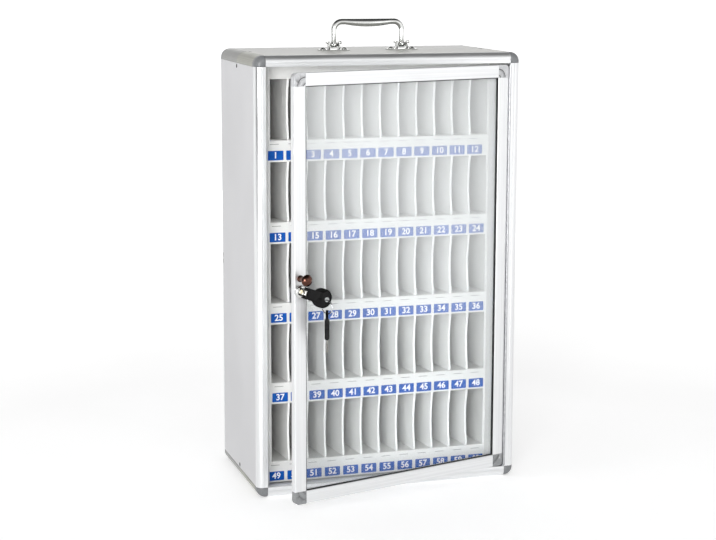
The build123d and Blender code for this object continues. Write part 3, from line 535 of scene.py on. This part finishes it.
FULLER = 0.9 * MM
FADE_BELOW, FADE_LENGTH = 4 * MM, 5 * MM
bail = bpy.data.objects["smooth_bail_handle"]
eye_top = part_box("handle_brackets")[1].z
swell_group = bail.vertex_groups.new(name="above_eyes")
for vertex in bail.data.vertices:
    weight = min(max((vertex.co.z - eye_top + FADE_BELOW) / FADE_LENGTH, 0), 1)
    swell_group.add([vertex.index], weight, "REPLACE")
for direction, strength in (("NORMAL", FULLER), ("Z", -FULLER)):
    apply_modifier(
        bail, "DISPLACE", direction=direction, strength=strength, mid_level=0, vertex_group="above_eyes"
    )
bail.vertex_groups.clear()
print("bail size, mm:", [round(value / MM, 1) for value in bail.dimensions])

# %% [markdown]
# ## Key ring
# The ring is a round steel wire, turned twice and flattened where its ends lie on each other. Its CAD solid is a
# plain torus, so the welded copy is shaded smooth all over, and the polish is a little duller than the handle's.

# %% Key ring
ring_steel = metal("ring_steel", "#b9babc", "#cfd0d1", 0.12, 0.22, wander=500)
smooth_copy("key_ring", ring_steel, angle=60)

# %% [markdown]
# ## Door corner pieces
# Each door corner is a grey moulded piece with two fine curved grooves struck from its inner corner. Shade in the
# grooves makes them read as dark lines, and here that shade is painted: the faces at a groove's floor sit half a
# millimetre below the front, so they can be found by their depth on the shut door and given a dark painted-shade
# finish of their own. The two lower corner pieces carry painted shade all over, a darker grey, and their grooves get
# no painted shade of their own.

# %% Door corner pieces
GROOVE_NEAREST, GROOVE_DEEPEST = 0.2 * MM, 0.9 * MM
GROOVE_SHADE_FINISH, LOWER_SHADE_FINISH = 1, 2

corner_grey = moulding("corner_grey", "#c6c7c9", "#d2d3d5", 0.3, 0.42)
# Painted shade: dark grey for the floors of the grooves.
groove_painted_shade = soft_rubber("groove_painted_shade", "#3a3a3b", "#4c4c4d")
corners = smooth_copy("door_corners", corner_grey)
corners.data.materials.append(groove_painted_shade)
# Painted shade: a darker grey for the two lower corner pieces.
corners.data.materials.append(moulding("lower_corner_painted_shade", "#8a8c8e", "#969899", 0.3, 0.42))
front_depth = shut_box("door_corners")[0].y
to_shut = door_pose.inverted()
dark_faces = 0
for face in corners.data.polygons:
    place = to_shut @ face.center
    outward = to_shut.to_3x3() @ face.normal
    if face.center.z < cad_high.z / 2:
        face.material_index = LOWER_SHADE_FINISH
    elif outward.y < -0.9 and GROOVE_NEAREST < place.y - front_depth < GROOVE_DEEPEST:
        face.material_index = GROOVE_SHADE_FINISH
        dark_faces += 1
print("groove faces:", dark_faces)

# %% [markdown]
# ## Countersunk screws
# Eight dark screws hold the depth bars to the frames. A head is a short cylinder with an eased rim and a cross
# recess. The recess is cut with a Boolean, because a cross is hard to extrude into a round face, and the same
# head is then copied to each hole and turned to face its side.

# %% One screw head
HEAD = 2.8 * MM
HEAD_DEPTH = 1.2 * MM
CROSS_LONG, CROSS_SHORT, CROSS_DEPTH = 1.8 * MM, 0.4 * MM, 0.7 * MM


def box_piece(name, low, high):
    """Cube primitive stretched between two corners, with its place in its mesh."""
    deselect()
    low, high = Vector(low), Vector(high)
    bpy.ops.mesh.primitive_cube_add(size=1, location=(low + high) / 2, scale=high - low)
    piece = bpy.context.object
    piece.name = name
    bpy.ops.object.transform_apply(location=True, rotation=True, scale=True)
    return piece


def make_screw_head():
    deselect()
    bpy.ops.mesh.primitive_cylinder_add(
        vertices=40, radius=HEAD, depth=HEAD_DEPTH, location=(0, 0, -HEAD_DEPTH / 2)
    )
    head = bpy.context.object
    head.name = "screw_head"
    bpy.ops.object.transform_apply(location=True, rotation=True, scale=True)
    apply_modifier(head, "BEVEL", width=0.2 * MM, segments=2, limit_method="ANGLE")
    for half_x, half_y in ((CROSS_LONG, CROSS_SHORT), (CROSS_SHORT, CROSS_LONG)):
        bar = box_piece("recess", (-half_x, -half_y, -CROSS_DEPTH), (half_x, half_y, 1 * MM))
        apply_modifier(head, "BOOLEAN", object=bar, operation="DIFFERENCE", solver="EXACT")
        bpy.data.objects.remove(bar)
    make_active(head)
    bpy.ops.object.shade_smooth_by_angle(angle=math.radians(35))
    return head


head_model = make_screw_head()
print("screw head faces:", len(head_model.data.polygons))

# %% [markdown]
# The places come from the CAD node itself: its vertices fall into eight clusters, one for each screw. The outer
# face of each cluster is the one farthest from the middle of the case.

# %% Screws in their holes
def clusters(node, reach):
    """Lowest and highest corner of each separate bit of a node, grouping vertices nearer than reach."""
    groups = []
    for vertex in nodes[node].data.vertices:
        for group in groups:
            if all(low - reach <= value <= high + reach for low, value, high in zip(group[0], vertex.co, group[1])):
                group[0] = Vector(map(min, group[0], vertex.co))
                group[1] = Vector(map(max, group[1], vertex.co))
                break
        else:
            groups.append([vertex.co.copy(), vertex.co.copy()])
    return groups


def join(pieces, name):
    deselect()
    for piece in pieces:
        piece.select_set(True)
    bpy.context.view_layer.objects.active = pieces[0]
    if len(pieces) > 1:
        bpy.ops.object.join()
    result = bpy.context.object
    result.name = name
    return result


def copy_mesh(model, name, matrix):
    """Copy with its own mesh, put in place by a matrix."""
    piece = bpy.data.objects.new(name, model.data.copy())
    bpy.context.scene.collection.objects.link(piece)
    piece.data.transform(matrix)
    return piece


CROSS_TURN = 0.4
heads = []
for low, high in clusters("edge_screws", 4 * MM):
    centre = (low + high) / 2
    sideways = abs(abs(centre.x) - cad_high.x) < 8 * MM
    if sideways:
        turn = Matrix.Rotation(math.copysign(math.pi / 2, centre.x), 4, "Y")
        spot = Vector((high.x if centre.x > 0 else low.x, centre.y, centre.z))
    else:
        is_top = centre.z > cad_high.z / 2
        turn = Matrix.Identity(4) if is_top else Matrix.Rotation(math.pi, 4, "X")
        spot = Vector((centre.x, centre.y, high.z if is_top else low.z))
    heads.append(copy_mesh(head_model, "screw", Matrix.Translation(spot) @ turn @ Matrix.Rotation(CROSS_TURN, 4, "Z")))
screws = join(heads, "edge_screw_heads")
settle(screws, "cabinet", dark_screw)
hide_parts("edge_screws")

# %% [markdown]
# The rear frame has two more screws side by side at the middle of each bar. The bars have no holes for them, so a
# Boolean sinks a shallow round pocket into the welded copy of each bar, and the head lies just below its surface.

# %% Paired screws in the rear bars
PAIR = 4.6 * MM
POCKET = 4.2 * MM
POCKET_CUTTER = 2.4 * MM
SINK = 0.12 * MM
FIT = POCKET / HEAD * 0.97
BAND_INSET = 10.8 * MM
band = cad_high.y - BAND_INSET
bar_low, bar_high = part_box("rear_edge_left")
mid_height = (bar_low.z + bar_high.z) / 2
case_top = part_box("rear_edge_top")[1].z
bar_ends = {
    "left": (Vector((cad_low.x, band, mid_height)), Matrix.Rotation(-math.pi / 2, 4, "Y"), Vector((0, 0, PAIR))),
    "right": (Vector((cad_high.x, band, mid_height)), Matrix.Rotation(math.pi / 2, 4, "Y"), Vector((0, 0, PAIR))),
    "top": (Vector((0, band, case_top)), Matrix.Identity(4), Vector((PAIR, 0, 0))),
    "bottom": (Vector((0, band, cad_low.z)), Matrix.Rotation(math.pi, 4, "X"), Vector((PAIR, 0, 0))),
}
pairs = []
for place, (middle, turn, offset) in bar_ends.items():
    bar = bpy.data.objects[f"smooth_rear_edge_{place}"]
    for end in (-1, 1):
        seat = Matrix.Translation(middle + end * offset) @ turn
        deselect()
        bpy.ops.mesh.primitive_cylinder_add(vertices=40, radius=POCKET, depth=POCKET_CUTTER)
        cutter = bpy.context.object
        cutter.data.transform(seat)
        apply_modifier(bar, "BOOLEAN", object=cutter, operation="DIFFERENCE", solver="EXACT")
        bpy.data.objects.remove(cutter)
        grow = Matrix.Diagonal((FIT, FIT, 1, 1))
        sink = Matrix.Translation((0, 0, -SINK))
        pairs.append(copy_mesh(head_model, "screw", seat @ sink @ grow))
    print(place, "bar faces:", len(bar.data.polygons))
settle(join(pairs, "rear_bar_screws"), "cabinet", dark_screw)
bpy.data.objects.remove(head_model)
print("paired screws:", len(pairs))

# %% [markdown]
# ## Number plates
# Every slot has a small blue plate with a white number on the front of its shelf. A plate is a thin card with
# softened corners, so it is one primitive with a bevel on the edges that run through its thickness, and it is
# copied sixty times. Plates of one shelf are joined, which keeps the list of pieces short. They were stuck on by
# hand, so each row sits a little to one side of its slots, by the millimetres in row_shift.

# %% Plate places
ROWS, COLUMNS = 5, 12
PITCH = 24.9 * MM
FIRST_SLOT = -136.95 * MM
PLATE = Vector((21 * MM, 0.35 * MM, 12.2 * MM))
PLATE_HEIGHT = 8.4 * MM
PLATE_CORNER = 0.9 * MM
row_shift = {1: (-4.2, -5.8), 2: (-1.9, -1.9), 3: (-0.7, -0.7), 4: (0.6, 0.6), 5: (-4.9, 1.5)}


def plate_centre(row, column):
    """Middle of a plate's back face; row 1 is the top shelf."""
    shelf_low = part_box(f"shelf_{row}")[0]
    first, last = row_shift[row]
    shift = first + (last - first) * column / (COLUMNS - 1)
    return Vector((FIRST_SLOT + column * PITCH + shift * MM, shelf_low.y, shelf_low.z + PLATE_HEIGHT))


for row in range(1, ROWS + 1):
    low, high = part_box(f"shelf_{row}")
    print("shelf", row, "box:", [round(v / MM, 1) for v in (*low, *high)])

# %% [markdown]
# A plate is stuck to the board with its front a third of a millimetre proud. Its ink is a deep blue that wears a
# little paler towards the edges, so a soft noise moves it between two blues.

# %% Plates
def printed_card(name, dark, light):
    material, tree, shader = start_finish(name)
    ink = grain(tree, 260, detail=4)
    tree.links.new(between(tree, ink, srgb(dark), srgb(light)), shader.inputs["Base Color"])
    tree.links.new(spread(tree, ink, 0.3, 0.44), shader.inputs["Roughness"])
    shader.inputs["Specular IOR Level"].default_value = 0.15
    relief(tree, shader, grain(tree, 1600), 0.000008, edge=0.0001)
    return material


plate_blue = printed_card("plate_blue", "#0b4fa8", "#1059b4")
number_white = printed_card("number_white", "#f1f2f4", "#fafafa")
line_grey = printed_card("line_grey", "#77777a", "#858588")

plate_model = box_piece("plate_model", (-PLATE.x / 2, -PLATE.y, -PLATE.z / 2), (PLATE.x / 2, 0, PLATE.z / 2))
make_active(plate_model)
bpy.ops.object.mode_set(mode="EDIT")
plate_mesh = bmesh.from_edit_mesh(plate_model.data)
for edge in plate_mesh.edges:
    first, second = (vertex.co for vertex in edge.verts)
    edge.select_set(abs(first.y - second.y) > PLATE.y / 2)
bmesh.update_edit_mesh(plate_model.data)
bpy.ops.mesh.bevel(offset=PLATE_CORNER, segments=4)
bpy.ops.object.mode_set(mode="OBJECT")

for row in range(1, ROWS + 1):
    plates = [
        copy_mesh(plate_model, "plate", Matrix.Translation(plate_centre(row, column))) for column in range(COLUMNS)
    ]
    settle(join(plates, f"number_plates_row_{row}"), "cabinet", plate_blue)
bpy.data.objects.remove(plate_model)
print("plates:", ROWS * COLUMNS)

# %% [markdown]
# ## Numbers
# The numbers run from 1 to 60, twelve to a shelf. Text objects are the easy way: a little Offset makes the plain
# face bold, a little Extrude gives it thickness, and Convert turns it into a mesh that can be moved into place.

# %% Numbers on the plates
NUMBER_SIZE = 11.4 * MM
NUMBER_BOLD = 0.25 * MM
NUMBER_HALF_DEPTH = 0.06 * MM
NUMBER_PROUD = 0.04 * MM


def number_piece(text, spot):
    deselect()
    bpy.ops.object.text_add(location=(0, 0, 0))
    piece = bpy.context.object
    piece.data.body = text
    piece.data.size = NUMBER_SIZE
    piece.data.offset = NUMBER_BOLD
    piece.data.extrude = NUMBER_HALF_DEPTH
    piece.data.align_x = "CENTER"
    piece.data.align_y = "CENTER"
    piece.data.resolution_u = 4
    bpy.ops.object.convert(target="MESH")
    piece = bpy.context.object
    piece.data.transform(Matrix.Translation(spot) @ Matrix.Rotation(math.pi / 2, 4, "X"))
    return piece


for row in range(1, ROWS + 1):
    digits = []
    for column in range(COLUMNS):
        spot = plate_centre(row, column) - Vector((0, PLATE.y + NUMBER_PROUD, 0))
        digits.append(number_piece(str((row - 1) * COLUMNS + column + 1), spot))
    settle(join(digits, f"slot_numbers_row_{row}"), "cabinet", number_white)
print("numbers up to", ROWS * COLUMNS)

# %% [markdown]
# ## Write-in lines
# Above each plate runs a fine printed line, where a name can be pencilled in. It is a sliver of ink, so a thin
# bar with eased edges, a tenth of a millimetre proud, is enough.

# %% Lines above the plates
LINE_LEFT, LINE_RIGHT = -7.5 * MM, 4.5 * MM
LINE_PROUD, LINE_HALF = 0.1 * MM, 0.3 * MM
LINE_EASE = 0.09 * MM
LINE_HEIGHT = 14.6 * MM
line_model = box_piece("line_model", (LINE_LEFT, -LINE_PROUD, -LINE_HALF), (LINE_RIGHT, 0, LINE_HALF))
apply_modifier(line_model, "BEVEL", width=LINE_EASE, segments=2, limit_method="NONE")
for row in range(1, ROWS + 1):
    lines = []
    for column in range(COLUMNS):
        spot = plate_centre(row, column) + Vector((0, 0, LINE_HEIGHT))
        lines.append(copy_mesh(line_model, "line", Matrix.Translation(spot)))
    settle(join(lines, f"write_in_lines_row_{row}"), "cabinet", line_grey)
bpy.data.objects.remove(line_model)
print("lines:", ROWS * COLUMNS)

# %% [markdown]
# ## Floor
# The cabinet stands on a plain pale floor that runs far enough back to meet the white background at the horizon.
# To rays that see the background it adds light of its own. The glow is weak near the cabinet, so its soft shadow
# shows, and grows with distance until the floor is white.

# %% Rays that see the background
def seen_ray(tree):
    """1 for rays from the camera and for those that a mirror or a window sends on, else 0."""
    path = tree.nodes.new("ShaderNodeLightPath")
    total = path.outputs["Is Camera Ray"]
    for kind in ("Is Glossy Ray", "Is Transmission Ray"):
        either = tree.nodes.new("ShaderNodeMath")
        either.operation = "MAXIMUM"
        tree.links.new(total, either.inputs[0])
        tree.links.new(path.outputs[kind], either.inputs[1])
        total = either.outputs["Value"]
    return total


# %% Floor
GLOW_NEAR, GLOW_FAR = 0.44, 0.75
NEAR_FLOOR, FAR_FLOOR = 0.6, 2.5
FLOOR_RADIUS, FLOOR_INSET, FLOOR_GAP = 40, 36, 0.0003


def studio_paper():
    material, tree, shader = start_finish("studio_paper", roughness=0.9)
    tree.links.new(between(tree, grain(tree, 3), srgb("#e6e6e6"), srgb("#ebebeb")), shader.inputs["Base Color"])
    shader.inputs["Specular IOR Level"].default_value = 0.1
    glow = tree.nodes.new("ShaderNodeEmission")
    add = tree.nodes.new("ShaderNodeAddShader")
    mix = tree.nodes.new("ShaderNodeMixShader")
    place = tree.nodes.new("ShaderNodeTexCoord")
    distance = tree.nodes.new("ShaderNodeVectorMath")
    distance.operation = "LENGTH"
    level = tree.nodes.new("ShaderNodeMapRange")
    level.inputs["From Min"].default_value = NEAR_FLOOR
    level.inputs["From Max"].default_value = FAR_FLOOR
    level.inputs["To Min"].default_value = GLOW_NEAR
    level.inputs["To Max"].default_value = GLOW_FAR
    tree.links.new(place.outputs["Object"], distance.inputs[0])
    tree.links.new(distance.outputs["Value"], level.inputs["Value"])
    tree.links.new(level.outputs["Result"], glow.inputs["Strength"])
    tree.links.new(shader.outputs["BSDF"], add.inputs[0])
    tree.links.new(glow.outputs["Emission"], add.inputs[1])
    tree.links.new(seen_ray(tree), mix.inputs["Fac"])
    tree.links.new(shader.outputs["BSDF"], mix.inputs[1])
    tree.links.new(add.outputs["Shader"], mix.inputs[2])
    tree.links.new(mix.outputs["Shader"], tree.nodes["Material Output"].inputs["Surface"])
    return material


deselect()
bpy.ops.mesh.primitive_circle_add(
    vertices=96, radius=FLOOR_RADIUS, fill_type="NGON", location=(0, 0, cad_low.z - FLOOR_GAP)
)
floor = bpy.context.object
floor.name = "studio_floor"
bpy.ops.object.mode_set(mode="EDIT")
bpy.ops.mesh.inset(thickness=FLOOR_INSET)
bpy.ops.object.mode_set(mode="OBJECT")
floor.data.materials.append(studio_paper())
print("floor faces:", len(floor.data.polygons))

# %% [markdown]
# ## Background and light
# What the camera, mirrors and glass see of the world is white near the horizon. High overhead it falls to grey,
# as a studio ceiling does, and that gives chrome its dark lines. What lights the object is a grey dome, brighter
# overhead. A large soft lamp from the front left reaches into the slots. Three weak ones help it: one at the left,
# kept out of mirrors, one at the front right that keeps shadows open, and one behind.

# %% World
world = bpy.data.worlds.new("studio")
bpy.context.scene.world = world
world.use_nodes = True
sky = world.node_tree
sky.nodes.clear()


def overhead_level(level, ceiling, start, end):
    """Background that goes from level at a height of start to ceiling at end; 1 is straight up."""
    direction = sky.nodes.new("ShaderNodeTexCoord")
    split = sky.nodes.new("ShaderNodeSeparateXYZ")
    ramp = sky.nodes.new("ShaderNodeMapRange")
    ramp.inputs["From Min"].default_value = start
    ramp.inputs["From Max"].default_value = end
    ramp.inputs["To Min"].default_value = level
    ramp.inputs["To Max"].default_value = ceiling
    background = sky.nodes.new("ShaderNodeBackground")
    background.inputs["Color"].default_value = (1, 1, 1, 1)
    sky.links.new(direction.outputs["Generated"], split.inputs["Vector"])
    sky.links.new(split.outputs["Z"], ramp.inputs["Value"])
    sky.links.new(ramp.outputs["Result"], background.inputs["Strength"])
    return background.outputs["Background"]


choose = sky.nodes.new("ShaderNodeMixShader")
surface = sky.nodes.new("ShaderNodeOutputWorld")
sky.links.new(seen_ray(sky), choose.inputs["Fac"])
sky.links.new(overhead_level(0.3, 0.62, 0.0, 1.0), choose.inputs[1])
sky.links.new(overhead_level(1.0, 0.06, 0.3, 0.8), choose.inputs[2])
sky.links.new(choose.outputs["Shader"], surface.inputs["Surface"])
print("world ready")

# %% Lamps
target = (cad_low + cad_high) / 2


def soft_lamp(name, place, size, power):
    data = bpy.data.lights.new(name, "AREA")
    data.shape = "SQUARE"
    data.size = size
    data.energy = power
    lamp = bpy.data.objects.new(name, data)
    lamp.location = place
    lamp.rotation_euler = (target - Vector(place)).to_track_quat("-Z", "Y").to_euler()
    bpy.context.scene.collection.objects.link(lamp)
    return lamp


soft_lamp("key_lamp", (-1.4, -2.87, 0.7), 1.2, 62)
side_lamp = soft_lamp("side_lamp", (-3.0, -0.4, 0.8), 1.2, 7)
side_lamp.visible_glossy = False
soft_lamp("fill_lamp", (1.8, -2.6, 0.9), 1.6, 5)
soft_lamp("back_lamp", (0.8, 2.6, 0.7), 1.6, 9)
print("lamps: key front left, one at the left, fill front right, one behind")

# %% [markdown]
# Polished tubes need something dark to mirror, or they vanish into a white room. A black card stands beside the
# object as in a studio. Only mirrored rays meet it, so it throws no shadow and no view of the camera shows it.

# %% Black card
deselect()
bpy.ops.mesh.primitive_plane_add(size=0.8, location=(-0.85, -0.5, 0.66), rotation=(0, math.pi / 2, 0))
card = bpy.context.object
card.name = "black_card"
card.data.materials.append(soft_rubber("card_black", "#050505", "#0a0a0a"))
for kind in ("camera", "diffuse", "transmission", "volume_scatter", "shadow"):
    setattr(card, f"visible_{kind}", False)
print("card size:", [round(value, 2) for value in card.dimensions])

# %% [markdown]
# ## Camera
# A long lens stands a little above the cabinet and to its left. A small lens shift centres the whole cabinet.

# %% Camera
camera = bpy.data.objects.new("camera", bpy.data.cameras.new("camera"))
camera.location = (-0.689, -2.152, 0.689)
camera.rotation_euler = (math.radians(81.04), math.radians(-0.17), math.radians(-17.42))
camera.data.lens = 85.5
camera.data.sensor_width = 36
camera.data.shift_y = -0.06
bpy.context.scene.collection.objects.link(camera)
bpy.context.scene.camera = camera
bpy.context.scene.view_settings.view_transform = "Standard"
print("camera at", [round(value, 3) for value in camera.location])
